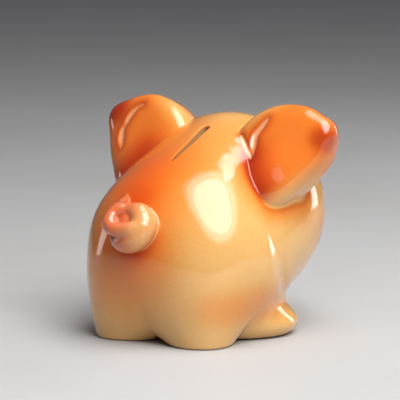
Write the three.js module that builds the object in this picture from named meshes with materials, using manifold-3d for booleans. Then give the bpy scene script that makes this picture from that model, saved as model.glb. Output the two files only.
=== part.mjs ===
// Piggy bank: a hollow cast ceramic pig. Its ears, tail, snout, eyes and feet are separate pieces
// of clay luted to the body, coins go in through a slot in the back, and they come out of a round
// hole in the belly, which a soft stopper closes.
// Millimetres, +Z up. The pig faces -Y, its left side is +X, and its feet stand on z = 0.

import * as THREE from 'three';
import { mergeVertices } from 'three/addons/utils/BufferGeometryUtils.js';
import Module from 'manifold-3d';

const wasm = await Module();
wasm.setup();

// ---- Driving dimensions ----

const WALL = 4.2; // wall of the cast shell
const JOINT_GAP = 0.3; // space between two neighbouring pieces

// The trunk and the head are two blended ellipsoids.
const TRUNK = { centre: [0, 17.8, 41.2], radii: [51.8, 44.0, 48.9] };
const HEAD = { centre: [0, -22.2, 59.9], radii: [50.3, 43.5, 48.4] };
const NECK_BLEND = 24.4;
const BELLY_Z = 2.2; // height of the flat belly over the ground
const BELLY_ROUNDING = 7;
const GROUND_ROUNDING = 1.6;

// The soft valley down each flank where the head meets the trunk.
const VALLEY = {
  depth: 1.5,
  width: 6,
  y: 15.2,
  z: 57,
  bow: 0.016, // how fast its line curves back above and below its middle
  startX: 30,
  lowZ: 18,
  highZ: 82,
  fade: 12,
};

// The coin slot runs along the middle of the back, from its rear end to its front end.
const SLOT_REAR = [0, 31.0, 88.7];
const SLOT_FRONT = [0, -1.2, 103.2];
const SLOT_WIDTH = 4.4;
const SLOT_CUT_DEPTH = 26;

// The left ear: a thick leaf with a pointed tip and a root that runs down the side of the head.
// The right ear is its mirror image.
const EAR = {
  centre: [36.8, -12.9, 89.5],
  radii: [23.9, 18.9, 30.1],
  turn: [0.5, 49.9, 6.3], // degrees about X, Y and Z
  tip: { centre: [55.6, -23.4, 98.2], radius: 4.5, blend: 14.6 },
  root: { centre: [34.8, 10.0, 67.5], radius: 9.0, blend: 24.8 },
};
// The hollow in the front of each ear, in the ear's own turned frame.
const EAR_CUP = { offset: [3, -25, 4], radii: [15, 15, 20], rounding: 5 };

// The tail: clay rolled up one and a half turns on the rump, its root running up the body to a
// point. Each knot is left, up and out along the coil's tilted axis, and the roll's radius.
const TAIL = {
  centre: [0, 59.2, 58.6],
  tilt: 30, // degrees between the coil's axis and +Y
  outerTurn: [
    [10.5, -3, -1, 4.6], [7.5, -6.8, 0.5, 5.2], [1.6, -8.1, 2.6, 5.8], [-3.2, -5.2, 3.2, 6.4],
    [-4.6, 1.3, 3.4, 6.8], [-1.1, 6.1, 4, 5.5],
  ],
  innerTurn: [
    [-1.1, 6.1, 4, 5.5], [4.6, 7.2, 6.2, 3.5], [10, 3.9, 9, 3.1], [10.6, -1.5, 9.5, 4.0],
    [8, -4.2, 9.5, 3.8], [4, -4.8, 9, 3.6], [-1.5, -3.8, 8.2, 3.8], [-5, -1, 6, 4],
  ],
  root: [[12.2, 12.8, 1.2, 2.2], [10.6, 9.8, 4.2, 2.4], [8.5, 6.5, 7.2, 2.8]],
  core: [4.5, 1.2, 1.6, 6.4],
  blend: 1.5,
};

// Feet of the left side; the right side mirrors them. Each flows out of the body in a wide blend,
// and reach is how far the foot's own clay runs out over the body around its middle.
const REAR_FOOT = { centre: [24.0, 39.9, 6.1], radii: [12, 11, 26], blend: 20.7, reach: 11 };
const FRONT_FOOT = { centre: [26.8, -4.4, 6.5], radii: [21, 23, 9.9], blend: 11.2, reach: 5 };

const SNOUT = { centre: [0, -63.5, 55], radius: 13.5, stretch: 1.2, length: 9.8, rounding: 3.2 };
const NOSTRIL = { x: 6.2, z: 1.0, radii: [2.4, 3.0, 3.6] };
const EYE = { x: 18.5, z: 73.5, radius: 4.2, sink: 1.4 }; // sink: the eye's middle behind the surface

// The stopper's hole, with a recess around it for the flange. The feet keep clear of both.
const HOLE = { y: 15.5, radius: 12.8, recessRadius: 15.4, recessDepth: 2.0, clearRadius: 16.5 };
const STOPPER = { flangeRadius: 15.0, flange: 1.4, plugRadius: 12.5, plugTaper: 0.4, height: 9, skin: 1.8 };
const PULL_BAR = [14, 3, 1.2];

const BODY_GRID = [40, 28];
const CAVITY_GRID = [28, 20];
const FOOT_GRID = [60, 42];
const EAR_GRID = [26, 20];
const TAIL_GRID = [44, 32];

// ---- Signed distance fields (approximate, negative inside) ----

function smoothMin(a, b, blend) {
  const h = Math.max(blend - Math.abs(a - b), 0) / blend;
  return Math.min(a, b) - (h * h * blend) / 4;
}

function smoothMax(a, b, blend) {
  return -smoothMin(-a, -b, blend);
}

function ellipsoid([x, y, z], centre, radii) {
  const d = [x - centre[0], y - centre[1], z - centre[2]];
  const k0 = Math.hypot(d[0] / radii[0], d[1] / radii[1], d[2] / radii[2]);
  const k1 = Math.hypot(d[0] / radii[0] ** 2, d[1] / radii[1] ** 2, d[2] / radii[2] ** 2);
  return (k0 * (k0 - 1)) / Math.max(k1, 1e-9);
}

function ball([x, y, z], centre, radius) {
  return Math.hypot(x - centre[0], y - centre[1], z - centre[2]) - radius;
}

function smoothStep(t) {
  const u = THREE.MathUtils.clamp(t, 0, 1);
  return u * u * (3 - 2 * u);
}

function valleyDepth([x, y, z]) {
  const line = VALLEY.y - VALLEY.bow * (z - VALLEY.z) ** 2;
  const across = (y - line) / VALLEY.width;
  const height = smoothStep((VALLEY.highZ - z) / VALLEY.fade) * smoothStep((z - VALLEY.lowZ) / VALLEY.fade);
  const side = smoothStep(Math.abs(x) / VALLEY.startX);
  return VALLEY.depth * Math.exp(-across * across) * height * side;
}

function torso(p) {
  const trunk = ellipsoid(p, TRUNK.centre, TRUNK.radii);
  const head = ellipsoid(p, HEAD.centre, HEAD.radii);
  const blended = smoothMin(trunk, head, NECK_BLEND) + valleyDepth(p);
  return smoothMax(blended, BELLY_Z - p[2], BELLY_ROUNDING);
}

const earTurn = new THREE.Matrix4().makeRotationFromEuler(
  new THREE.Euler(...EAR.turn.map(THREE.MathUtils.degToRad), 'ZXY'),
);
const earUnturn = earTurn.clone().invert();

function leftEar(p) {
  const local = new THREE.Vector3(...p).sub(new THREE.Vector3(...EAR.centre)).applyMatrix4(earUnturn);
  const leaf = ellipsoid(local.toArray(), [0, 0, 0], EAR.radii);
  const tip = ball(p, EAR.tip.centre, EAR.tip.radius);
  const root = ball(p, EAR.root.centre, EAR.root.radius);
  const solid = smoothMin(smoothMin(leaf, tip, EAR.tip.blend), root, EAR.root.blend);
  const cup = ellipsoid(local.toArray(), EAR_CUP.offset, EAR_CUP.radii);
  return smoothMax(solid, -cup, EAR_CUP.rounding);
}

const tailTurn = new THREE.Matrix4().makeRotationX(THREE.MathUtils.degToRad(TAIL.tilt));

// A point of the tail's own frame (left, up, out) in the part's frame.
function tailPoint([left, up, out]) {
  const turned = new THREE.Vector3(left, out, up).applyMatrix4(tailTurn);
  return turned.add(new THREE.Vector3(...TAIL.centre)).toArray();
}

// Middle points and radii along a smooth roll through its knots.
function rolled(knots) {
  const line = new THREE.CatmullRomCurve3(knots.map((knot) => new THREE.Vector3(...tailPoint(knot))));
  const steps = 4 * (knots.length - 1);
  return Array.from({ length: steps + 1 }, (_, i) => {
    const at = (i / steps) * (knots.length - 1);
    const knot = Math.min(Math.floor(at), knots.length - 2);
    const radius = THREE.MathUtils.lerp(knots[knot][3], knots[knot + 1][3], at - knot);
    return { point: line.getPoint(i / steps), radius };
  });
}

function roll(p, beads) {
  const place = new THREE.Vector3(...p);
  const nearest = new THREE.Vector3();
  return Math.min(...beads.slice(1).map((bead, i) => {
    const stretch = new THREE.Line3(beads[i].point, bead.point);
    const t = stretch.closestPointToPointParameter(place, true);
    stretch.at(t, nearest);
    return place.distanceTo(nearest) - THREE.MathUtils.lerp(beads[i].radius, bead.radius, t);
  }));
}

const tailOuter = rolled(TAIL.outerTurn);
const tailInner = rolled(TAIL.innerTurn);
const tailRoot = rolled(TAIL.root);
const tailCore = tailPoint(TAIL.core);

function tail(p) {
  const base = smoothMin(roll(p, tailOuter), ball(p, tailCore, TAIL.core[3]), TAIL.blend);
  return smoothMin(smoothMin(base, roll(p, tailInner), TAIL.blend), roll(p, tailRoot), TAIL.blend);
}

// ---- Solids ----

function toManifold(geometry) {
  const bare = geometry.clone();
  bare.deleteAttribute('normal');
  bare.deleteAttribute('uv');
  const merged = mergeVertices(bare, 1e-4);
  const vertProperties = new Float32Array(merged.getAttribute('position').array);
  const triVerts = new Uint32Array(merged.getIndex().array);
  return new wasm.Manifold(new wasm.Mesh({ numProp: 3, vertProperties, triVerts }));
}

function toGeometry(manifold) {
  const { vertProperties, triVerts } = manifold.getMesh();
  const geometry = new THREE.BufferGeometry();
  geometry.setAttribute('position', new THREE.BufferAttribute(new Float32Array(vertProperties), 3));
  geometry.setIndex(new THREE.BufferAttribute(new Uint32Array(triVerts), 1));
  geometry.computeVertexNormals();
  return geometry;
}

// The surface where a field reaches a level, found along each ray from a centre inside it.
function radialGeometry(field, centre, [columns, rows], level = 0) {
  const geometry = new THREE.SphereGeometry(1, columns, rows).rotateX(Math.PI / 2);
  const position = geometry.getAttribute('position');
  const ray = new THREE.Vector3();
  for (let i = 0; i < position.count; i++) {
    ray.fromBufferAttribute(position, i).normalize();
    let near = 0;
    let far = 120;
    for (let step = 0; step < 30; step++) {
      const middle = (near + far) / 2;
      const point = [0, 1, 2].map((k) => centre[k] + ray.getComponent(k) * middle);
      if (field(point) < level) near = middle;
      else far = middle;
    }
    position.setXYZ(i, ...[0, 1, 2].map((k) => centre[k] + ray.getComponent(k) * near));
  }
  return geometry;
}

const TORSO_CENTRE = [0, -1, 48];
const torsoSolid = (level, grid = BODY_GRID) =>
  toManifold(radialGeometry(torso, TORSO_CENTRE, grid, level));
const torsoKeepOut = torsoSolid(JOINT_GAP);

function mirrored(geometry) {
  const copy = geometry.clone().scale(-1, 1, 1);
  const index = copy.getIndex();
  for (let i = 0; i < index.count; i += 3) {
    const first = index.getX(i);
    index.setX(i, index.getX(i + 2));
    index.setX(i + 2, first);
  }
  copy.computeVertexNormals();
  return copy;
}

function largestPiece(manifold) {
  const pieces = manifold.decompose();
  return pieces.reduce((best, piece) => (piece.volume() > best.volume() ? piece : best));
}

function luted(geometry) {
  return toGeometry(largestPiece(toManifold(geometry).subtract(torsoKeepOut)));
}

function slotCutter() {
  const rear = new THREE.Vector3(...SLOT_REAR);
  const front = new THREE.Vector3(...SLOT_FRONT);
  const half = front.distanceTo(rear) / 2 - SLOT_WIDTH / 2;
  const outline = new THREE.Shape();
  outline.absarc(half, 0, SLOT_WIDTH / 2, -Math.PI / 2, Math.PI / 2, false);
  outline.absarc(-half, 0, SLOT_WIDTH / 2, Math.PI / 2, (3 * Math.PI) / 2, false);
  const geometry = new THREE.ExtrudeGeometry(outline, {
    depth: SLOT_CUT_DEPTH,
    bevelEnabled: false,
    curveSegments: 6,
  });
  geometry.translate(0, 0, -SLOT_CUT_DEPTH / 2);
  const along = front.clone().sub(rear).normalize();
  const across = new THREE.Vector3(1, 0, 0);
  const out = along.clone().cross(across).multiplyScalar(-1);
  geometry.applyMatrix4(new THREE.Matrix4().makeBasis(along, out.clone().cross(along), out));
  const middle = rear.clone().add(front).multiplyScalar(0.5);
  return toManifold(geometry.translate(...middle.toArray()));
}

function cylinder(radius, bottom, top, y, segments = 40) {
  const geometry = new THREE.CylinderGeometry(radius, radius, top - bottom, segments);
  return geometry.rotateX(Math.PI / 2).translate(0, y, (top + bottom) / 2);
}

function bodyShell() {
  const cavity = torsoSolid(-WALL, CAVITY_GRID);
  const bore = toManifold(cylinder(HOLE.radius, -5, BELLY_Z + 3 * WALL, HOLE.y));
  const recess = toManifold(cylinder(HOLE.recessRadius, -5, BELLY_Z + HOLE.recessDepth, HOLE.y));
  const solid = torsoSolid(0).subtract(cavity).subtract(slotCutter()).subtract(bore).subtract(recess);
  return toGeometry(solid);
}

function stopper() {
  const top = BELLY_Z + HOLE.recessDepth - JOINT_GAP;
  const flangeBottom = top - STOPPER.flange;
  const rim = top + STOPPER.height;
  const tip = STOPPER.plugRadius - STOPPER.plugTaper;
  const profile = [
    [0, flangeBottom],
    [STOPPER.flangeRadius - 0.5, flangeBottom],
    [STOPPER.flangeRadius, flangeBottom + 0.5],
    [STOPPER.flangeRadius, top],
    [STOPPER.plugRadius, top],
    [STOPPER.plugRadius, rim - 2],
    [tip, rim],
    [tip - STOPPER.skin, rim],
    [tip - STOPPER.skin, top + STOPPER.skin],
    [0, top + STOPPER.skin],
  ].map(([r, z]) => new THREE.Vector2(r, z));
  const plug = new THREE.LatheGeometry(profile, 40).rotateX(Math.PI / 2);
  const [length, width, height] = PULL_BAR;
  const bar = new THREE.BoxGeometry(length, width, height + 0.4);
  bar.translate(0, 0, flangeBottom - height / 2 + 0.2);
  const solid = toManifold(plug).add(toManifold(bar));
  return toGeometry(solid).translate(0, HOLE.y, 0);
}

// The part of a foot that can't reach past its own clay: its middle, grown by its reach.
function footRegion({ centre, radii, reach }, extra = 0) {
  const geometry = new THREE.SphereGeometry(1, 24, 16).rotateX(Math.PI / 2);
  geometry.scale(...radii.map((radius) => radius + reach + extra));
  return toManifold(geometry.translate(...centre));
}

function footSolid(foot) {
  const field = (p) => {
    const blended = smoothMin(torso(p), ellipsoid(p, foot.centre, foot.radii), foot.blend);
    return smoothMax(blended, -p[2], GROUND_ROUNDING);
  };
  const grown = toManifold(radialGeometry(field, TORSO_CENTRE, FOOT_GRID));
  const clear = toManifold(cylinder(HOLE.clearRadius, -5, 20, HOLE.y));
  return grown.intersect(footRegion(foot)).subtract(clear);
}

function snout() {
  const { radius, length, rounding, stretch, centre } = SNOUT;
  const profile = [new THREE.Vector2(0, 0), new THREE.Vector2(radius, 0)];
  for (let i = 0; i <= 5; i++) {
    const angle = (i / 5) * (Math.PI / 2);
    profile.push(new THREE.Vector2(
      radius - rounding + rounding * Math.cos(angle),
      length - rounding + rounding * Math.sin(angle),
    ));
  }
  profile.push(new THREE.Vector2(0, length));
  const disc = new THREE.LatheGeometry(profile, 36).rotateX(Math.PI).scale(stretch, 1, 1);
  let solid = toManifold(disc);
  for (const side of [-1, 1]) {
    const nostril = new THREE.SphereGeometry(1, 16, 12).scale(...NOSTRIL.radii);
    nostril.translate(side * NOSTRIL.x, -length, NOSTRIL.z);
    solid = solid.subtract(toManifold(nostril));
  }
  return luted(toGeometry(solid).translate(...centre));
}

// Where a line along Y through (x, z) leaves the front of the head.
function headFront(x, z) {
  let outside = HEAD.centre[1] - 2 * HEAD.radii[1];
  let inside = HEAD.centre[1];
  for (let step = 0; step < 30; step++) {
    const middle = (outside + inside) / 2;
    if (torso([x, middle, z]) < 0) inside = middle;
    else outside = middle;
  }
  return inside;
}

function eye() {
  const y = headFront(EYE.x, EYE.z) + EYE.sink;
  return new THREE.SphereGeometry(EYE.radius, 16, 12).translate(EYE.x, y, EYE.z);
}

// ---- Assembly ----

const bank = new THREE.Group();

function add(name, geometry, color, roughness) {
  const mesh = new THREE.Mesh(geometry, new THREE.MeshStandardMaterial({ color, roughness, metalness: 0 }));
  mesh.name = name;
  bank.add(mesh);
}

// The left piece, its mirror image, and each cut back from the body it is luted to.
function addPair(leftName, rightName, geometry, color) {
  add(leftName, luted(geometry), color, GLAZE);
  add(rightName, luted(mirrored(geometry)), color, GLAZE);
}

const CREAM = '#eec07c';
const ORANGE = '#e07a30';
const BLUSH = '#e69a62';
const EYE_GLAZE = '#241812';
const GLAZE = 0.12; // roughness of the glazed surfaces
const RUBBER = '#d9d4c8';
const RUBBER_ROUGHNESS = 0.6;

add('body_shell', bodyShell(), CREAM, GLAZE);

addPair('left_ear', 'right_ear', radialGeometry(leftEar, EAR.centre, EAR_GRID), ORANGE);
addPair('left_eye', 'right_eye', eye(), EYE_GLAZE);
addPair('rear_left_foot', 'rear_right_foot', toGeometry(footSolid(REAR_FOOT)), CREAM);
const frontFoot = footSolid(FRONT_FOOT).subtract(footRegion(REAR_FOOT, JOINT_GAP));
addPair('front_left_foot', 'front_right_foot', toGeometry(frontFoot), CREAM);
add('tail', luted(radialGeometry(tail, tailCore, TAIL_GRID)), BLUSH, GLAZE);
add('snout', snout(), BLUSH, GLAZE);
add('stopper', stopper(), RUBBER, RUBBER_ROUGHNESS);

export default bank;
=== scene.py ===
"""The glazed look of the piggy bank: fine ceramic surfaces, airbrushed glaze, stopper, light and camera.

The surfaces are fields, negative inside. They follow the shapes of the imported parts, except that
the ears differ in thickness and stand 3 mm further out on each side, and they add what a potter's
hand and a coat of glaze do. Fields work in millimetres, and every mesh is turned into metres when
it is made. The pig faces -Y and its left side is +X.
"""

import itertools
import math

import bpy
import numpy as np
from mathutils import Matrix, Quaternion, Vector


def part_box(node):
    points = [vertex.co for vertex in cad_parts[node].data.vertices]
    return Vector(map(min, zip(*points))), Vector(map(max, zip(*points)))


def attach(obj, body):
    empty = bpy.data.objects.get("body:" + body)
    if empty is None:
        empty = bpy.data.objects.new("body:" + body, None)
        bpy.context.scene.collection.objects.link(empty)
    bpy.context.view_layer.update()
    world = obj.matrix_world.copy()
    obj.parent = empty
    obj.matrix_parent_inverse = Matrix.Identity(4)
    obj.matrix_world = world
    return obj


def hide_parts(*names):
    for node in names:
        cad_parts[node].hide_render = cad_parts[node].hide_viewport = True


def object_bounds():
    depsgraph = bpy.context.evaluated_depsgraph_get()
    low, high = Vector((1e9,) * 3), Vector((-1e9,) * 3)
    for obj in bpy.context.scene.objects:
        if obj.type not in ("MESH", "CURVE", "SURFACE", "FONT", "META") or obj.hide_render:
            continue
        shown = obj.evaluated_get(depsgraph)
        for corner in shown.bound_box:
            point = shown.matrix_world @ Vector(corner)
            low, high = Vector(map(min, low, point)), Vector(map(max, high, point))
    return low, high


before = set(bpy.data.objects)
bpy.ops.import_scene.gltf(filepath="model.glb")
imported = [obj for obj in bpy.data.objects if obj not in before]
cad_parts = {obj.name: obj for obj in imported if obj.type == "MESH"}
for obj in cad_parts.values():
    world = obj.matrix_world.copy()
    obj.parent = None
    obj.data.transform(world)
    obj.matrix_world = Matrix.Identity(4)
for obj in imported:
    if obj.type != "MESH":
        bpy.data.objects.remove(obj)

MM = 0.001
cad_low, cad_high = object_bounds()


def node_box(node):
    """Lowest and highest corner of a CAD node, in millimetres."""
    low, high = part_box(node)
    return np.array(low) / MM, np.array(high) / MM


# ---- Driving dimensions, in millimetres ----

SHELL_LOW, SHELL_HIGH = node_box("body_shell")
WALL = 4.2
SINK = 0.02  # how far a luted piece dips under the surface that it runs out on
DIVE = 0.03  # how fast its edge then dives below that surface, per millimetre
RIM = 5.0  # how far past its blend a luted piece goes on below the surface
DIVE_LEAD = 1.0  # how far inside its blend the dive starts
CLAY_DEPTH = 2.0  # how deep inside the body a luted piece ends
WAVE_HEIGHT = 0.035
WAVE_LENGTHS = (22, 40)
EAR_WAVE_SCALE = 1.7  # the ears' waves are that much shorter

TRUNK_RADII = np.array([51.8, 44.0, 48.9])
HEAD_RADII = np.array([50.3, 43.5, 48.4])
TRUNK = np.array([0, SHELL_HIGH[1] - TRUNK_RADII[1], 41.2])
HEAD = np.array([0, SHELL_LOW[1] + HEAD_RADII[1] - 0.1, SHELL_HIGH[2] - HEAD_RADII[2]])
NECK_BLEND = 24.4
BELLY_Z = SHELL_LOW[2]
BELLY_ROUNDING = 7.0
GROUND_ROUNDING = 1.6

VALLEY_DEPTH = 1.2
VALLEY_WIDTH = 6.0
VALLEY_Y = 15.2
VALLEY_Z = 57.0
VALLEY_BOW = 0.016
VALLEY_TOP = 82.0
VALLEY_FOOT = 18.0
VALLEY_FADE = 12.0  # how far it takes to fade out at its top and foot
VALLEY_SIDE = 30.0  # how far from the middle of the back it is at its full depth

SLOT_REAR = np.array([0, 31.0, 88.7])
SLOT_FRONT = np.array([0, -1.2, 103.2])
SLOT_WIDTH = 4.2
SLOT_TAPER = 1.1  # how much narrower each side of its rear end is
SLOT_LIP = 0.7
SLOT_HALF_WIDTHS = (1, 3)  # the least and the most
SLOT_DEPTH = 15.0

EAR = np.array([36.8, -12.9, 89.5])  # the frame that folds and paint are laid out in
EAR_TURN = (0.5, 49.9, 6.3)  # degrees about X, Y and Z
LEAF = np.array([39.0, -12.6, 93.3])
LEAF_TURN = (20.9, 71.3, -4.2)
LEAF_RADII = np.array([21.4, 12.5, 27.2])
LEAF_FULLNESS = 3.4  # over 2 the back is flatter and turns more tightly at its rim
EAR_TIP = np.array([62.9, -14.9, 103.2])
EAR_TIP_RADIUS = 1.4
EAR_TIP_BLEND = 12.0
EAR_ROOT = np.array([35.6, 3.6, 71.9])
EAR_ROOT_RADIUS = 5.1
EAR_ROOT_BLEND = 34.0
EAR_CUP = np.array([0.0, -20.0, 6.0])
EAR_CUP_RADII = np.array([13.0, 13.0, 17.0])
EAR_CUP_ROUNDING = 5.0
EAR_FILLET = 0.5
# Folds pressed into the clay of each ear: lines in the ear's own turned frame, and half widths.
LEFT_FOLDS = [
    ([(-12.1, 4.8, 19.4), (-8.4, 5.1, 21.2), (-3.4, 6.4, 21.0), (1.9, 8.3, 19.4)], [0.2, 0.8, 1.2, 0.9]),
    ([(1.9, 8.3, 19.4), (4.9, 9.5, 18.3), (7.5, 11.8, 15.4), (9.1, 14.9, 11.5)], [0.5, 1.4, 1.5, 0.3]),
]
RIGHT_FOLDS = [
    ([(-17.2, 13.3, -4.9), (-11.6, 16.1, -4.0), (-3.3, 19.9, -2.2)], [0.4, 0.9, 0.9]),
    ([(-3.3, 19.9, -2.2), (-7.8, 16.4, -0.3), (-12.6, 13.1, 2.2), (-14.5, 10.3, 6.5), (-16.0, 8.0, 10.3)],
     [0.9, 1.4, 1.4, 1.1, 0.3]),
]
FOLD_ROUNDING = 1.6

TAIL = np.array([0, 59.2, 58.6])
TAIL_TILT = math.radians(30)
TAIL_FILLET = 1.8
# The rolled clay of the tail: left, up and out along its tilted axis, and the roll's radius.
TAIL_OUTER = [
    (10.5, -3, -1, 4.6), (7.5, -6.8, 0.5, 5.2), (1.6, -8.1, 2.6, 5.8), (-3.2, -5.2, 3.2, 6.4),
    (-4.6, 1.3, 3.4, 6.8), (-1.1, 6.1, 4, 5.5),
]
TAIL_INNER = [
    (-1.1, 6.1, 4, 5.5), (4.6, 7.2, 6.2, 3.5), (10, 3.9, 9, 3.1), (10.6, -1.5, 9.5, 4.0),
    (8, -4.2, 9.5, 3.8), (4, -4.8, 9, 3.6), (-1.5, -3.8, 8.2, 3.8), (-5, -1, 6, 4),
]
TAIL_ROOT = [(14.2, 16.5, -1.8, 0.9), (11.3, 11, 3.0, 2.9), (9.2, 6.5, 6.6, 3.8)]
TAIL_SEAM = np.array([(16.1, -3.4, 4.0), (6.8, -6.7, 5.0), (-0.8, -8.2, 5.0)])  # where the two turns meet
TAIL_CORE = (4.8, 1.4, 2.4, 6.7)
TAIL_CORE_BLEND = 1.5
TAIL_TURN_BLEND = 1.1
TAIL_ROOT_BLEND = 3.0

REAR_FOOT = np.array([24.0, 39.9, 6.1])
REAR_FOOT_RADII = np.array([12.0, 11.0, 26.0])
REAR_FOOT_BLEND = 20.7
FRONT_FOOT = np.array([26.8, -4.4, 6.5])
FRONT_FOOT_RADII = np.array([21.0, 23.0, 9.9])
FRONT_FOOT_BLEND = 11.2
FOOT_CREASE = 2.5
PAIR_CREASE = 4.0
FOOT_CLEARANCE_ROUNDING = 1.5

SNOUT_LOW, SNOUT_HIGH = node_box("snout")
SNOUT = (SNOUT_LOW + SNOUT_HIGH) / 2
SNOUT_RADIUS = (SNOUT_HIGH[2] - SNOUT_LOW[2]) / 2
SNOUT_STRETCH = (SNOUT_HIGH[0] - SNOUT_LOW[0]) / (SNOUT_HIGH[2] - SNOUT_LOW[2])
SNOUT_FILLET = 3.0
SNOUT_ROUNDING = 5.0
SNOUT_DOME = 0.006
SNOUT_SINK = 2.0  # half of how much further the disc goes on into the head
NOSTRIL = np.array([6.2, 0.5, 1.0])  # to one side, behind the front of the snout, and up
NOSTRIL_RADII = np.array([2.4, 3.4, 3.6])
NOSTRIL_LIP = 1.2
EYE_GROWTH = 0.3
EYE_DEPTH = 1.5

STOPPER_LOW, STOPPER_HIGH = node_box("stopper")
HOLE_Y = (STOPPER_LOW[1] + STOPPER_HIGH[1]) / 2
HOLE_RADIUS = 12.8
RECESS_RADIUS = 15.4
RECESS_DEPTH = 2.0
FOOT_CLEARANCE = 16.5
PLUG_RADIUS = 12.3
PLUG_SKIN = 1.8
FLANGE_THICKNESS = 1.4
PULL_BAR_HEIGHT = 1.2
PULL_BAR_HALF = np.array([6.4, 1.0, PULL_BAR_HEIGHT])
PULL_BAR_ROUNDING = 0.5
PLUG_DRAFT = 0.045
BEAD_HEIGHTS = (2.4, 6.4)
BEAD_RISE = 0.3
BEAD_WIDTH = 0.7
DISH_RADII = np.array([11.5, 11.5, 3.0])
DISH_DROP = 2.2
BORE_LIP = 0.6
RECESS_LIP = 0.8


# ---- Fields ----


def smooth_min(a, b, blend):
    h = np.maximum(blend - np.abs(a - b), 0) / blend
    return np.minimum(a, b) - h * h * blend / 4


def smooth_max(a, b, blend):
    return -smooth_min(-a, -b, blend)


def smooth_step(t):
    t = np.clip(t, 0, 1)
    return t * t * (3 - 2 * t)


def glow(distance, reach):
    """1 at no distance, fading to 0 past its reach."""
    return np.exp(-((distance / reach) ** 2))


def ellipsoid(p, centre, radii):
    d = p - centre
    k0 = np.linalg.norm(d / radii, axis=-1)
    k1 = np.linalg.norm(d / radii**2, axis=-1)
    return k0 * (k0 - 1) / np.maximum(k1, 1e-9)


def ball(p, centre, radius):
    return np.linalg.norm(p - centre, axis=-1) - radius


def upright_cylinder(p, radius, y):
    return np.hypot(p[..., 0], p[..., 1] - y) - radius


def tube(p, points, radii):
    """Round cones from point to point."""
    nearest = np.full(p.shape[:-1], 1e9)
    for a, b, ra, rb in zip(points[:-1], points[1:], radii[:-1], radii[1:]):
        along = b - a
        t = np.clip(((p - a) @ along) / (along @ along), 0, 1)
        gap = np.linalg.norm(p - a - t[..., None] * along, axis=-1) - (ra + (rb - ra) * t)
        nearest = np.minimum(nearest, gap)
    return nearest


def mirror(p, side):
    """The point as the left side's shapes see it: side is 1 for the left and -1 for the right."""
    return p * np.array([side, 1, 1])


rng = np.random.default_rng(7)
WAVES = [(rng.normal(size=3), rng.uniform(0, 2 * math.pi), rng.uniform(*WAVE_LENGTHS)) for _ in range(7)]


def unevenness(p):
    """The soft waves that a cast and sponged surface keeps under its glaze."""
    total = 0
    for direction, phase, length in WAVES:
        direction = direction / np.linalg.norm(direction)
        total = total + np.sin(p @ direction * 2 * math.pi / length + phase)
    return WAVE_HEIGHT * total


def valley(p):
    line = VALLEY_Y - VALLEY_BOW * (p[..., 2] - VALLEY_Z) ** 2
    below_top = smooth_step((VALLEY_TOP - p[..., 2]) / VALLEY_FADE)
    above_foot = smooth_step((p[..., 2] - VALLEY_FOOT) / VALLEY_FADE)
    aside = smooth_step(np.abs(p[..., 0]) / VALLEY_SIDE)
    return VALLEY_DEPTH * glow(p[..., 1] - line, VALLEY_WIDTH) * below_top * above_foot * aside


def torso(p):
    blended = smooth_min(ellipsoid(p, TRUNK, TRUNK_RADII), ellipsoid(p, HEAD, HEAD_RADII), NECK_BLEND)
    return smooth_max(blended + valley(p) + unevenness(p), BELLY_Z - p[..., 2], BELLY_ROUNDING)


slot_middle = (SLOT_REAR + SLOT_FRONT) / 2
slot_along = (SLOT_FRONT - SLOT_REAR) / np.linalg.norm(SLOT_FRONT - SLOT_REAR)
slot_half = np.linalg.norm(SLOT_FRONT - SLOT_REAR) / 2 - SLOT_WIDTH / 2
slot_out = np.array([0, -slot_along[2], slot_along[1]])
if slot_out[2] < 0:
    slot_out = -slot_out


def slot(p):
    d = p - slot_middle
    past_end = np.maximum(np.abs(d @ slot_along) - slot_half, 0)
    half_width = SLOT_WIDTH / 2 - SLOT_TAPER * (0.5 - (d @ slot_along) / (2 * slot_half))
    side = np.hypot(past_end, d[..., 0]) - np.clip(half_width, *SLOT_HALF_WIDTHS)
    return np.maximum(side, -(d @ slot_out) - SLOT_DEPTH)


def body(p):
    outside = torso(p)
    shell = np.maximum(outside, -outside - WALL)
    shell = smooth_max(shell, -slot(p), SLOT_LIP)
    bore = np.maximum(upright_cylinder(p, HOLE_RADIUS, HOLE_Y), p[..., 2] - BELLY_Z - 3 * WALL)
    recess = upright_cylinder(p, RECESS_RADIUS, HOLE_Y)
    recess = np.maximum(recess, p[..., 2] - BELLY_Z - RECESS_DEPTH)
    return smooth_max(smooth_max(shell, -bore, BORE_LIP), -recess, RECESS_LIP)


def turned(angles):
    x, y, z = (math.radians(a) for a in angles)
    return np.array(Matrix.Rotation(z, 3, "Z") @ Matrix.Rotation(x, 3, "X") @ Matrix.Rotation(y, 3, "Y"))


EAR_AXES = turned(EAR_TURN)
LEAF_AXES = turned(LEAF_TURN)


def full_ellipsoid(p, radii, fullness):
    """An ellipsoid about the origin, fuller along Y than a true one."""
    flat = np.hypot(p[..., 0] / radii[0], p[..., 2] / radii[2])
    k0 = (flat**fullness + np.abs(p[..., 1] / radii[1]) ** fullness) ** (1 / fullness)
    k1 = np.linalg.norm(p / radii**2, axis=-1)
    return k0 * (k0 - 1) / np.maximum(k1, 1e-9)


def plain_ear(q):
    """The left ear with no folds and no fillet."""
    leaf = full_ellipsoid((q - LEAF) @ LEAF_AXES, LEAF_RADII, LEAF_FULLNESS)
    leaf = smooth_min(leaf, ball(q, EAR_TIP, EAR_TIP_RADIUS), EAR_TIP_BLEND)
    solid = smooth_min(leaf, ball(q, EAR_ROOT, EAR_ROOT_RADIUS), EAR_ROOT_BLEND)
    cup = ellipsoid((q - EAR) @ EAR_AXES, EAR_CUP, EAR_CUP_RADII)
    return smooth_max(solid, -cup, EAR_CUP_ROUNDING)


def gradient(field, points):
    step = 0.05
    slopes = [field(points + step * axis) - field(points - step * axis) for axis in np.eye(3)]
    return np.stack(slopes, -1) / (2 * step)


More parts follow.
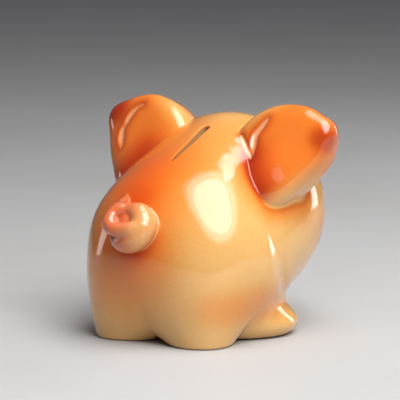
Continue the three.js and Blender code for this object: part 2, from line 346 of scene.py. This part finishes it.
def settled(field, points, most):
    """The points moved towards the surface, each by no more than a given distance."""
    slope = gradient(field, points)
    steepness = np.maximum((slope**2).sum(-1, keepdims=True), 0.1)
    move = -field(points)[:, None] * slope / steepness
    length = np.linalg.norm(move, axis=-1, keepdims=True)
    return points + move * np.minimum(1, most / np.maximum(length, 1e-9))


def smooth_line(knots, steps):
    """Points and radii on a smooth line through knots, by Catmull and Rom's rule."""
    knots = np.array([knots[0], *knots, knots[-1]], float)
    rows = []
    for a, b, c, d in zip(knots[:-3], knots[1:-2], knots[2:-1], knots[3:]):
        for t in np.arange(steps) / steps:
            rows.append(0.5 * (2 * b + (c - a) * t + (2 * a - 5 * b + 4 * c - d) * t**2
                               + (3 * b - a - 3 * c + d) * t**3))
    rows = np.array([*rows, knots[-2]])
    return rows[:, :3], rows[:, 3]


def pressed_lines(folds):
    """Each fold's line, moved onto the ear's surface, with its half widths."""
    lines = []
    for line, widths in folds:
        points, radii = smooth_line([(*point, width) for point, width in zip(line, widths)], 4)
        points = points @ EAR_AXES.T + EAR
        for _ in range(5):
            points = settled(plain_ear, points, 2)
        lines.append((points, radii))
    return lines


FOLD_LINES = {1: pressed_lines(LEFT_FOLDS), -1: pressed_lines(RIGHT_FOLDS)}


def folded_ear(p, side):
    """One ear with its folds: side is 1 for the left and -1 for the right."""
    q = mirror(p, side)
    solid = plain_ear(q)
    for points, radii in FOLD_LINES[side]:
        solid = smooth_max(solid, -tube(q, points, radii), FOLD_ROUNDING)
    return solid


def luted(p, bare, blend):
    """A piece of clay blended into the body, its edge hidden just below the body's surface."""
    belly = torso(p)
    past = bare - blend + DIVE_LEAD
    surface = smooth_min(belly, bare, blend) + SINK + DIVE * np.maximum(past, 0) ** 2
    return np.maximum(np.maximum(surface, past - RIM), -belly - CLAY_DEPTH)


def ear(p, side):
    return luted(p, folded_ear(p, side) + unevenness(p * EAR_WAVE_SCALE), EAR_FILLET)


TAIL_FRAME = np.array([
    [1, 0, 0],
    [0, -math.sin(TAIL_TILT), math.cos(TAIL_TILT)],
    [0, math.cos(TAIL_TILT), math.sin(TAIL_TILT)],
])  # rows: left, up and out


def tail_line(knots):
    points, radii = smooth_line(knots, 4)
    return points @ TAIL_FRAME + TAIL, radii


def bare_tail(p):
    outer, inner, root = (tube(p, *tail_line(knots)) for knots in (TAIL_OUTER, TAIL_INNER, TAIL_ROOT))
    *core, core_radius = TAIL_CORE
    base = smooth_min(outer, ball(p, np.array(core) @ TAIL_FRAME + TAIL, core_radius), TAIL_CORE_BLEND)
    return smooth_min(smooth_min(base, inner, TAIL_TURN_BLEND), root, TAIL_ROOT_BLEND)


def tail(p):
    return luted(p, bare_tail(p), TAIL_FILLET)


def feet_gaps(p):
    """Distance to each foot's own clay: rear left, rear right, front left and front right."""
    return [
        ellipsoid(mirror(p, side), middle, radii)
        for middle, radii in ((REAR_FOOT, REAR_FOOT_RADII), (FRONT_FOOT, FRONT_FOOT_RADII))
        for side in (1, -1)
    ]


def joined(a, b, crease):
    """The greater of two heights over the body, with a soft crease that dies out as they do."""
    return smooth_max(a, b, np.clip(np.minimum(a, b), 0.01, crease))


def foot(p, number):
    """One of the four feet, cut out of the surface that all four make with the body."""
    gaps = feet_gaps(p)
    blends = [REAR_FOOT_BLEND, REAR_FOOT_BLEND, FRONT_FOOT_BLEND, FRONT_FOOT_BLEND]
    belly = torso(p)
    raised = [belly - smooth_min(belly, gap, blend) for gap, blend in zip(gaps, blends)]
    rear = joined(raised[0], raised[1], PAIR_CREASE)
    front = joined(raised[2], raised[3], PAIR_CREASE)
    others = np.minimum.reduce([gap for i, gap in enumerate(gaps) if i != number])
    past_body = gaps[number] - blends[number] + DIVE_LEAD
    past_border = gaps[number] - others
    dive = np.maximum(past_body, 0) ** 2 + np.maximum(past_border, 0) ** 2
    surface = belly - joined(rear, front, FOOT_CREASE) + SINK + DIVE * dive
    standing = smooth_max(surface, -p[..., 2], GROUND_ROUNDING)
    hole = upright_cylinder(p, FOOT_CLEARANCE, HOLE_Y)
    clear = smooth_max(standing, -hole, FOOT_CLEARANCE_ROUNDING)
    edge = np.maximum(past_body, past_border) - RIM
    return np.maximum(np.maximum(clear, edge), -belly - CLAY_DEPTH)


def snout(p):
    d = p - SNOUT
    out = np.hypot(d[..., 0] / SNOUT_STRETCH, d[..., 2])
    depth = np.abs(d[..., 1] - SNOUT_SINK) - (SNOUT_HIGH[1] - SNOUT_LOW[1]) / 2 - SNOUT_SINK
    disc = smooth_max(out - SNOUT_RADIUS, depth + SNOUT_DOME * out**2, SNOUT_ROUNDING)
    front = np.array([SNOUT[0], SNOUT_LOW[1], SNOUT[2]])
    for side in (-1, 1):
        nostril = ellipsoid(p, front + mirror(NOSTRIL, side), NOSTRIL_RADII)
        disc = smooth_max(disc, -nostril, NOSTRIL_LIP)
    return luted(p, disc, SNOUT_FILLET)


def eye(p, side):
    low, high = node_box("left_eye")
    centre = (low + high) / 2
    dome = ball(mirror(p, side), centre, (high[2] - low[2]) / 2 + EYE_GROWTH)
    return np.maximum(dome, -torso(p) - EYE_DEPTH)


def stopper(p):
    """The soft stopper: a thin flange, a hollow plug with two beads, and a bar to pull it out by."""
    out = upright_cylinder(p, 0, HOLE_Y)
    bar_low, rim = STOPPER_LOW[2], STOPPER_HIGH[2]
    flange_low = bar_low + PULL_BAR_HEIGHT
    flange_top = flange_low + FLANGE_THICKNESS
    radius = (STOPPER_HIGH[0] - STOPPER_LOW[0]) / 2
    z = p[..., 2]
    flange = smooth_max(out - radius, np.abs(z - (flange_low + flange_top) / 2) - FLANGE_THICKNESS / 2, 0.8)
    dish = ellipsoid(p, np.array([0, HOLE_Y, flange_low - DISH_DROP]), DISH_RADII)
    beads = sum(BEAD_RISE * glow(z - flange_top - height, BEAD_WIDTH) for height in BEAD_HEIGHTS)
    wall = out - (PLUG_RADIUS - PLUG_DRAFT * (z - flange_top)) - beads
    plug = smooth_max(smooth_max(wall, z - rim, 1.0), flange_low + 0.4 - z, 0.1)
    hollow = smooth_max(out - PLUG_RADIUS + PLUG_SKIN, flange_top + 0.4 - z, 1.5)
    cup = smooth_max(smooth_min(flange, plug, 0.8), -hollow, 0.6)
    cup = smooth_max(cup, -dish, 0.6)
    d = np.abs(p - np.array([0, HOLE_Y, flange_low + 0.2])) - PULL_BAR_HALF
    bar = np.linalg.norm(np.maximum(d + PULL_BAR_ROUNDING, 0), axis=-1) - PULL_BAR_ROUNDING
    bar = np.maximum(bar, bar_low - z)
    return smooth_min(cup, bar, 0.8)


# ---- Meshes ----


def stretched_axis(low, high, cell, fine):
    """Grid lines from low to high, half a cell apart inside the fine stretches."""
    lines = [low]
    while lines[-1] < high:
        halved = any(start <= lines[-1] < end for start, end in fine)
        lines.append(lines[-1] + cell * (0.5 if halved else 1))
    return np.array(lines)


def isosurface(field, low, high, cell, rounds=7, fine=((), (), ())):
    """Points, quads and outward normals of the surface where a field is zero, one point per crossed cell."""
    cell = cell * 1
    axes = [stretched_axis(low[k] - 2 * cell, high[k] + 3 * cell, cell, fine[k]) for k in range(3)]
    inside = np.stack([
        field(np.stack(np.meshgrid([x], axes[1], axes[2], indexing="ij"), axis=-1))[0] < 0 for x in axes[0]
    ])
    size = [n - 1 for n in inside.shape]
    corners = np.zeros(size, int)
    for i, j, k in itertools.product((0, 1), repeat=3):
        corners += inside[i : i + size[0], j : j + size[1], k : k + size[2]]
    crossed = (corners > 0) & (corners < 8)
    number = np.full(size, -1)
    number[crossed] = np.arange(crossed.sum())
    centres = [(axis[1:] + axis[:-1]) / 2 for axis in axes]
    points = np.stack([centres[k][row] for k, row in enumerate(np.nonzero(crossed))], axis=-1)
    quads = []
    for axis in range(3):
        order = (axis, (axis + 1) % 3, (axis + 2) % 3)
        grid, ring = inside.transpose(order), number.transpose(order)
        here, there = grid[:-1, 1:-1, 1:-1], grid[1:, 1:-1, 1:-1]
        around = [ring[:, :-1, :-1], ring[:, 1:, :-1], ring[:, 1:, 1:], ring[:, :-1, 1:]]
        around = np.stack(around, axis=-1)
        quads.append(around[here & ~there])
        quads.append(around[there & ~here][:, ::-1])
    quads = np.concatenate(quads)
    for _ in range(rounds):
        points = settled(field, points + 0.6 * (neighbour_mean(points, quads) - points), cell)
    normals = gradient(field, points)
    return points, quads, normals / np.linalg.norm(normals, axis=-1, keepdims=True)


def neighbour_mean(points, quads):
    total = np.zeros_like(points)
    count = np.zeros(len(points))
    for a, b in ((0, 1), (1, 2), (2, 3), (3, 0)):
        for i, j in ((quads[:, a], quads[:, b]), (quads[:, b], quads[:, a])):
            count += np.bincount(i, minlength=len(points))
            for k in range(3):
                total[:, k] += np.bincount(i, points[j, k], minlength=len(points))
    return total / count[:, None]


def make_piece(name, geometry, node, materials, painted=True, bare=None):
    """A mesh that stands for a CAD node; bare picks the faces that take the second material."""
    points, quads, normals = geometry
    mesh = bpy.data.meshes.new(name)
    mesh.from_pydata((points * MM).tolist(), [], quads.tolist())
    mesh.shade_smooth()
    mesh.normals_split_custom_set_from_vertices(normals.tolist())
    if painted:
        colour, fringe = paint(points)
        layer = mesh.attributes.new("glaze_and_painted_light", "FLOAT_COLOR", "POINT")
        layer.data.foreach_set("color", np.column_stack([colour, np.ones(len(points))]).ravel())
        layer = mesh.attributes.new("fringe", "FLOAT", "POINT")
        layer.data.foreach_set("value", fringe)
    for material in materials:
        mesh.materials.append(material)
    if bare is not None:
        middles = points[quads].mean(1)
        mesh.polygons.foreach_set("material_index", bare(middles).astype(np.int32))
    piece = bpy.data.objects.new(name, mesh)
    bpy.context.scene.collection.objects.link(piece)
    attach(piece, "plug" if node == "stopper" else "bank")
    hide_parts(node)
    return piece


# ---- Paint: how much of each sprayed colour lies on a point, with painted shade and painted highlights ----

CREAM = np.array([0.68, 0.43, 0.165])
ORANGE = np.array([0.67, 0.185, 0.024])
# Umber darkens the ear tips and glaze pooled at the ears' feet, and is painted shade in creases and hollows.
UMBER = np.array([0.30, 0.04, 0.006])
ROSE = np.array([0.60, 0.17, 0.075])
BARE_CLAY = np.array([0.50, 0.30, 0.15])
FOLD_HIGHLIGHT_ROSE = np.array([0.80, 0.44, 0.33])  # pale rose painted highlight along the folds of the ears

# Sprayed spots: how strong each is, its middle, its reach, and how sharply it ends.
ORANGE_ALL_OVER = 0.1
ORANGE_SPOTS = [
    (1.6, (12, 40, 82), (31.5, 42, 29.4), 2),
    (0.25, (14, -4, 103), (13, 18, 12), 2),
    (0.5, (4, 52, 72), (10, 10, 9), 2),
    (0.8, (10, 58, 42), (28, 30, 26), 3),
    (0.5, (0, 62, 48), (12, 7, 8), 2),
]
ROSE_SPOTS = [(0.25, (0, 60, 52), (16, 10, 12), 2)]
# The same on both sides of the pig.
PAIRED_ORANGE_SPOTS = [
    (0.45, (46, 26, 20), (20, 46, 10), 3),
    (0.5, (44, -44, 52), (16, 20, 14), 2),
]
PAIRED_ROSE_SPOTS = [(0.5, (40, -48, 50), (12, 14, 10), 2)]
# The dark tip of each ear: its middle and reach in the ear's frame, and how much umber it takes.
TIP_DARKENING = {1: ((2.5, -1, 30), (8, 10, 8), 0.9), -1: ((10, 1.5, 28), (7, 8, 6.5), 0.5)}


def spot(p, centre, radii, power=2.0):
    """1 in the middle of a sprayed spot, fading to 0 past its radii."""
    d = np.linalg.norm((p - np.array(centre)) / np.array(radii), axis=-1)
    return np.exp(-(d**power))


def spray(p, spots):
    return sum(strength * spot(p, centre, radii, power) for strength, centre, radii, power in spots)


def fade(value, start, width):
    """0 below start, rising smoothly to 1 over width."""
    return smooth_step((value - start) / width)


def ear_paint(p, side):
    """Shares of orange, umber and rose on one ear and around it, what is ear, and the painted highlight
    along its folds. Part of the umber is painted shade: along both sides of each fold, and with pooled glaze
    in the crease at the ear's foot.
    """
    q = mirror(p, side)
    local = (q - EAR) @ EAR_AXES
    gap = plain_ear(q)
    on_ear = 1 - fade(gap, 0.3, 1.6)
    low = fade(local[..., 0], -16, 16)

    back = (1 - fade(np.abs(local[..., 0]), 13, 13)) * fade(local[..., 1], -7, 8)
    tip = spot(local, *TIP_DARKENING[side][:2], 3)
    # Glaze pooled at the ear's foot, darkened further as painted shade in that crease.
    pooled_glaze_and_shade = low * glow(torso(p), 6.5) * fade(local[..., 1], 2, 8)
    inside = fade(-local[..., 1], 0, 8)
    orange = on_ear * (1.05 * back + 0.12 + 0.3 * inside)
    crease = np.maximum(np.minimum(*(tube(q, points, radii) for points, radii in FOLD_LINES[side])), 0)
    umber = on_ear * (TIP_DARKENING[side][2] * tip + 0.7 * pooled_glaze_and_shade * (1 - fade(local[..., 0], 16, 8)))
    # Painted shade along both sides of each fold.
    umber = umber + on_ear * 0.35 * glow(crease, 3.0)
    # A pale rose painted highlight along the middle of each fold.
    painted_highlight = on_ear * glow(crease, 0.6)
    rose = on_ear * 0.7 * inside

    around = 1 - on_ear
    orange = orange + around * (0.25 + 0.55 * low) * glow(gap, 6.5)
    # Painted shade on the body in the crease along the ear's lower part.
    towards_rim = 1 - 0.6 * fade(local[..., 0], 14, 10)
    umber = umber + 0.9 * around * low * glow(gap, 2.2) * towards_rim
    return orange, umber, rose, on_ear, painted_highlight


def tail_paint(p):
    d = (p - TAIL) @ TAIL_FRAME.T
    gap = bare_tail(p)
    on_tail = 1 - fade(gap, 0.2, 1.4)
    left = fade(d[..., 0], -7, 13)
    rose = on_tail * (0.25 + 0.75 * left)
    # Painted shade in the hole of the curl and in the valley where its two turns meet.
    hollow = spot(d, (6.5, 3.2, 5.0), (4.0, 3.0, 4.0), 3)
    seam_shade = glow(tube(d, TAIL_SEAM, np.zeros(3)), 3.0) * fade(d[..., 0], -4, 18)
    umber = on_tail * (0.65 * hollow + 0.9 * seam_shade)
    # Painted shadow on the body under the tail, in rose and umber.
    shade = (1 - on_tail) * glow(gap, 3.5) * fade(-d[..., 1], -4, 10)
    return rose + 0.25 * shade, umber + 0.1 * shade, on_tail


def paint(p):
    """The glaze's colour at surface points: each layer tints what lies under it. The umber layer is partly
    painted shade in creases and hollows, and the ears' folds get painted highlights.
    """
    q = p * np.array([0, 1, 1]) + np.abs(p) * np.array([1, 0, 0])
    orange = ORANGE_ALL_OVER + spray(p, ORANGE_SPOTS) + spray(q, PAIRED_ORANGE_SPOTS)
    rose = spray(p, ROSE_SPOTS) + spray(q, PAIRED_ROSE_SPOTS)
    umber = np.zeros(len(p))
    highlight_share = np.zeros(len(p))

    snout_gap = SNOUT_LOW[1] + 9 - p[..., 1]
    on_snout = fade(snout_gap, 0, 5) * spot(p, SNOUT, (17, 30, 15), 8)
    rose = rose + 0.8 * on_snout
    orange = orange + 0.3 * on_snout
    for side in (1, -1):
        ear_orange, ear_umber, ear_rose, on_ear, painted_highlight = ear_paint(p, side)
        highlight_share = highlight_share + painted_highlight
        orange = orange * (1 - on_ear) + ear_orange
        umber = umber + ear_umber
        rose = rose * (1 - on_ear) + ear_rose
    tail_rose, tail_umber, on_tail = tail_paint(p)
    orange = orange * (1 - 0.85 * on_tail)
    rose = rose * (1 - on_tail) + tail_rose
    umber = umber + tail_umber

    cream = np.log(CREAM)
    layers = ((orange, ORANGE), (umber, UMBER), (rose, ROSE))
    tinted = cream + sum(share[:, None] * (np.log(tint) - cream) for share, tint in layers)
    # Pale rose painted highlights along the folds of the ears.
    tinted = tinted + 0.8 * np.clip(highlight_share, 0, 1)[:, None] * (np.log(FOLD_HIGHLIGHT_ROSE) - tinted)
    clay = fade(-torso(p), 1.0, 0.8)[:, None]
    tinted = tinted + clay * (np.log(BARE_CLAY) - tinted)
    fringe = 4 * np.clip(orange + umber, 0, 1) * (1 - np.clip(orange + umber, 0, 1))
    return np.exp(tinted), fringe


# ---- Materials ----


def new_material(name):
    material = bpy.data.materials.new(name)
    material.use_nodes = True
    return material, material.node_tree.nodes, material.node_tree.links


def noise(nodes, links, scale, detail=2.0, roughness=0.5):
    """Noise fixed to the object, its scale in features per metre."""
    place = nodes.new("ShaderNodeTexCoord")
    texture = nodes.new("ShaderNodeTexNoise")
    texture.inputs["Scale"].default_value = scale
    texture.inputs["Detail"].default_value = detail
    texture.inputs["Roughness"].default_value = roughness
    links.new(place.outputs["Object"], texture.inputs["Vector"])
    return texture.outputs["Fac"]


def ranged(nodes, links, value, low, high, to_low, to_high):
    """A value's range moved to another one, and held inside it."""
    node = nodes.new("ShaderNodeMapRange")
    links.new(value, node.inputs["Value"])
    for name, number in (("From Min", low), ("From Max", high), ("To Min", to_low), ("To Max", to_high)):
        node.inputs[name].default_value = number
    return node.outputs["Result"]


def times(nodes, links, a, b):
    node = nodes.new("ShaderNodeMath")
    node.operation = "MULTIPLY"
    links.new(a, node.inputs[0])
    links.new(b, node.inputs[1])
    return node.outputs[0]


def mixed(nodes, links, factor, a, b, blend="MIX"):
    """Colour a with colour b laid over it; each is a socket or a plain colour."""
    node = nodes.new("ShaderNodeMix")
    node.data_type = "RGBA"
    node.blend_type = blend
    links.new(factor, node.inputs["Factor"])
    for name, colour in (("A", a), ("B", b)):
        if isinstance(colour, tuple):
            node.inputs[name].default_value = (*colour, 1)
        else:
            links.new(colour, node.inputs[name])
    return node.outputs["Result"]


def bumped(nodes, links, shader, heights):
    """Small relief from (height, strength, metres) rows."""
    normal = None
    for height, strength, metres in heights:
        bump = nodes.new("ShaderNodeBump")
        bump.inputs["Strength"].default_value = strength
        bump.inputs["Distance"].default_value = metres
        links.new(height, bump.inputs["Height"])
        if normal:
            links.new(normal, bump.inputs["Normal"])
        normal = bump.outputs["Normal"]
    links.new(normal, shader.inputs["Normal"])


def specks(nodes, links, scale, size, few):
    """Round specks: 1 in a speck's middle; only cells whose own random number passes few have one."""
    place = nodes.new("ShaderNodeTexCoord")
    cells = nodes.new("ShaderNodeTexVoronoi")
    cells.inputs["Scale"].default_value = scale
    links.new(place.outputs["Object"], cells.inputs["Vector"])
    split = nodes.new("ShaderNodeSeparateColor")
    links.new(cells.outputs["Color"], split.inputs["Color"])
    near = ranged(nodes, links, cells.outputs["Distance"], size * 0.4, size, 1, 0)
    chosen = ranged(nodes, links, split.outputs["Red"], few, few + 0.01, 0, 1)
    return times(nodes, links, near, chosen)


def airbrushed_glaze():
    material, nodes, links = new_material("airbrushed_glaze")
    shader = nodes["Principled BSDF"]
    shader.inputs["Coat Weight"].default_value = 0.5
    shader.inputs["Coat Roughness"].default_value = 0.05
    # The colour attribute holds the sprayed glaze with painted shade and painted highlights in it.
    sprayed = nodes.new("ShaderNodeAttribute")
    sprayed.attribute_name = "glaze_and_painted_light"
    fringe = nodes.new("ShaderNodeAttribute")
    fringe.attribute_name = "fringe"
    droplets = ranged(nodes, links, noise(nodes, links, 1500, 1.0), 0.48, 0.62, 0, 0.35)
    clouds = ranged(nodes, links, noise(nodes, links, 55, 3.0), 0.4, 0.75, 0, 0.16)
    pinholes = specks(nodes, links, 190, 0.07, 0.93)
    colour = sprayed.outputs["Color"]
    colour = mixed(nodes, links, clouds, colour, (0.94, 0.78, 0.62), "MULTIPLY")
    colour = mixed(nodes, links, times(nodes, links, droplets, fringe.outputs["Fac"]), colour,
                   (0.97, 0.62, 0.36), "MULTIPLY")
    colour = mixed(nodes, links, pinholes, colour, (0.45, 0.28, 0.18), "MULTIPLY")
    links.new(colour, shader.inputs["Base Color"])
    haze = ranged(nodes, links, noise(nodes, links, 130, 2.0), 0.3, 0.7, 0.06, 0.13)
    links.new(haze, shader.inputs["Roughness"])
    bumped(nodes, links, shader, [
        (noise(nodes, links, 160, 1.0), 0.25, 0.0004),
        (pinholes, -0.4, 0.0002),
    ])
    return material


def bisque_clay():
    material, nodes, links = new_material("bisque_clay")
    shader = nodes["Principled BSDF"]
    grain = noise(nodes, links, 2200, 3.0, 0.7)
    stain = noise(nodes, links, 90, 3.0)
    ground = (0.60, 0.37, 0.19)
    colour = mixed(nodes, links, ranged(nodes, links, stain, 0.35, 0.7, 0, 0.5), ground, (0.50, 0.26, 0.11))
    colour = mixed(nodes, links, ranged(nodes, links, grain, 0.45, 0.65, 0, 0.4), colour, (0.74, 0.52, 0.32))
    links.new(colour, shader.inputs["Base Color"])
    links.new(ranged(nodes, links, grain, 0.3, 0.7, 0.7, 0.9), shader.inputs["Roughness"])
    bumped(nodes, links, shader, [(grain, 0.5, 0.0002)])
    return material


def dark_glaze():
    material, nodes, links = new_material("dark_eye_glaze")
    shader = nodes["Principled BSDF"]
    shader.inputs["Coat Weight"].default_value = 0.8
    shader.inputs["Coat Roughness"].default_value = 0.02
    ground = (0.012, 0.007, 0.005)
    brown = ranged(nodes, links, noise(nodes, links, 420, 3.0), 0.45, 0.7, 0, 0.8)
    links.new(mixed(nodes, links, brown, ground, (0.06, 0.022, 0.01)), shader.inputs["Base Color"])
    haze = ranged(nodes, links, noise(nodes, links, 300), 0.3, 0.7, 0.06, 0.14)
    links.new(haze, shader.inputs["Roughness"])
    return material


def moulded_rubber():
    material, nodes, links = new_material("moulded_rubber")
    shader = nodes["Principled BSDF"]
    shader.inputs["Sheen Weight"].default_value = 0.25
    grain = noise(nodes, links, 1300, 3.0, 0.6)
    dust = noise(nodes, links, 120, 4.0)
    ground = (0.52, 0.49, 0.43)
    colour = mixed(nodes, links, ranged(nodes, links, dust, 0.4, 0.75, 0, 0.5), ground, (0.36, 0.33, 0.28))
    links.new(colour, shader.inputs["Base Color"])
    links.new(ranged(nodes, links, dust, 0.3, 0.7, 0.42, 0.62), shader.inputs["Roughness"])
    bumped(nodes, links, shader, [(grain, 0.3, 0.0001)])
    return material


def floor_material():
    material, nodes, links = new_material("pale_floor")
    shader = nodes["Principled BSDF"]
    ground = (0.46, 0.455, 0.45)
    cloud = ranged(nodes, links, noise(nodes, links, 6, 4.0), 0.35, 0.7, 0, 0.5)
    links.new(mixed(nodes, links, cloud, ground, (0.41, 0.40, 0.39)), shader.inputs["Base Color"])
    shader.inputs["Roughness"].default_value = 0.6
    return material


# ---- The pieces ----

UNGLAZED_DEPTH = 3.8  # below the body's surface
SOLE_HEIGHT = 0.7


def padded_box(node, pad):
    low, high = node_box(node)
    return low - pad, high + pad


glazed = airbrushed_glaze()
bisque = bisque_clay()


def unglazed_body(p):
    """The clay is left bare on the inside of the shell and deep in its openings."""
    return -torso(p) > UNGLAZED_DEPTH


def unglazed_sole(p):
    return p[:, 2] < SOLE_HEIGHT


slot_ends = [(SLOT_FRONT[1] - 2, SLOT_FRONT[1] + 3), (SLOT_REAR[1] - 3, SLOT_REAR[1] + 2)]
body_geometry = isosurface(body, SHELL_LOW - 1, SHELL_HIGH + 1, 1.0, fine=([(-4, 4)], slot_ends, ()))
make_piece("pig_body", body_geometry, "body_shell", [glazed, bisque], bare=unglazed_body)
for side, word in ((1, "left"), (-1, "right")):
    make_piece(f"pig_{word}_ear", isosurface(lambda p: ear(p, side), *padded_box(f"{word}_ear", 9), 0.7),
               f"{word}_ear", [glazed])
    make_piece(f"pig_{word}_eye", isosurface(lambda p: eye(p, side), *padded_box(f"{word}_eye", 2), 0.4),
               f"{word}_eye", [dark_glaze()], painted=False)
for number, node in enumerate(("rear_left_foot", "rear_right_foot", "front_left_foot", "front_right_foot")):
    make_piece(f"pig_{node}", isosurface(lambda p: foot(p, number), *padded_box(node, 24), 1.0),
               node, [glazed, bisque], bare=unglazed_sole)
make_piece("pig_tail", isosurface(tail, *padded_box("tail", 9), 0.5), "tail", [glazed])
make_piece("pig_snout", isosurface(snout, *padded_box("snout", 9), 0.6), "snout", [glazed])
make_piece("rubber_stopper", isosurface(stopper, *padded_box("stopper", 1), 0.4), "stopper",
           [moulded_rubber()], painted=False)

# ---- Floor, light and camera ----

bpy.ops.mesh.primitive_plane_add(size=14)
floor = bpy.context.object
floor.name = "floor"
floor.data.materials.append(floor_material())

bpy.context.scene.view_settings.view_transform = "Standard"
world = bpy.data.worlds.new("studio")
bpy.context.scene.world = world
world.use_nodes = True
world.node_tree.nodes["Background"].inputs["Color"].default_value = (0.9, 0.92, 1, 1)
world.node_tree.nodes["Background"].inputs["Strength"].default_value = 0.13

middle = (cad_low + cad_high) / 2


def softbox(name, direction, distance, width, height, power, shape="RECTANGLE", roll=0):
    """A flat light, seen from the pig in a direction and facing it."""
    light = bpy.data.lights.new(name, "AREA")
    light.shape = shape
    light.size, light.size_y = width, height
    light.energy = power
    lamp = bpy.data.objects.new(name, light)
    towards = Vector(direction).normalized()
    lamp.location = middle + towards * distance
    turn = towards.to_track_quat("Z", "Y") @ Quaternion((0, 0, 1), math.radians(roll))
    lamp.rotation_euler = turn.to_euler()
    bpy.context.scene.collection.objects.link(lamp)
    return lamp


LAMP_DISTANCE = 1.1
OVERHEAD_DIRECTION = (-0.48, 0.21, 0.85)
OVERHEAD_SIZE = np.array([1.05, 1.95])
OVERHEAD_GAP = 0.01  # how much further off each layer is than the one before
OVERHEAD_LAYERS = ((0.74, 10.5), (0.96, 12), (1.1, 7))  # share of that size, and watts

# One big lamp whose brightness falls off towards its edge.
for number, (grow, power) in enumerate(OVERHEAD_LAYERS):
    softbox(f"overhead_{number}", OVERHEAD_DIRECTION, LAMP_DISTANCE + OVERHEAD_GAP * number,
            *(OVERHEAD_SIZE * grow), power, shape="ELLIPSE", roll=-12)
softbox("front_top", (-0.11, -0.36, 0.93), LAMP_DISTANCE, 0.44, 0.12, 0.9)
softbox("right_strip", (-0.40, -0.90, 0.14), LAMP_DISTANCE, 0.22, 0.7, 2.0)
softbox("left_strip", (0.98, 0.15, 0.02), LAMP_DISTANCE, 0.2, 0.4, 0.5)

CAMERA_AZIMUTH = math.radians(213.97)
CAMERA_ELEVATION = math.radians(8.37)
CAMERA_DISTANCE = 1.4
FOCUS_OFFSET = Vector((0, 0.01375, 0.002))  # the point that the camera turns about, from the middle
# Turns the camera so that the pig sits left of and below the middle of the picture.
AIM_SHIFT = Vector((-0.0033, -0.0036, 0.0072))

camera_data = bpy.data.cameras.new("camera")
camera_data.sensor_width = 36
camera_data.lens = 252
camera = bpy.data.objects.new("camera", camera_data)
bpy.context.scene.collection.objects.link(camera)
bpy.context.scene.camera = camera
back = Vector((
    math.sin(CAMERA_AZIMUTH) * math.cos(CAMERA_ELEVATION),
    -math.cos(CAMERA_AZIMUTH) * math.cos(CAMERA_ELEVATION),
    math.sin(CAMERA_ELEVATION),
))
focus = middle + FOCUS_OFFSET
camera.location = focus + back * CAMERA_DISTANCE
camera.rotation_euler = (camera.location - focus - AIM_SHIFT).to_track_quat("Z", "Y").to_euler()
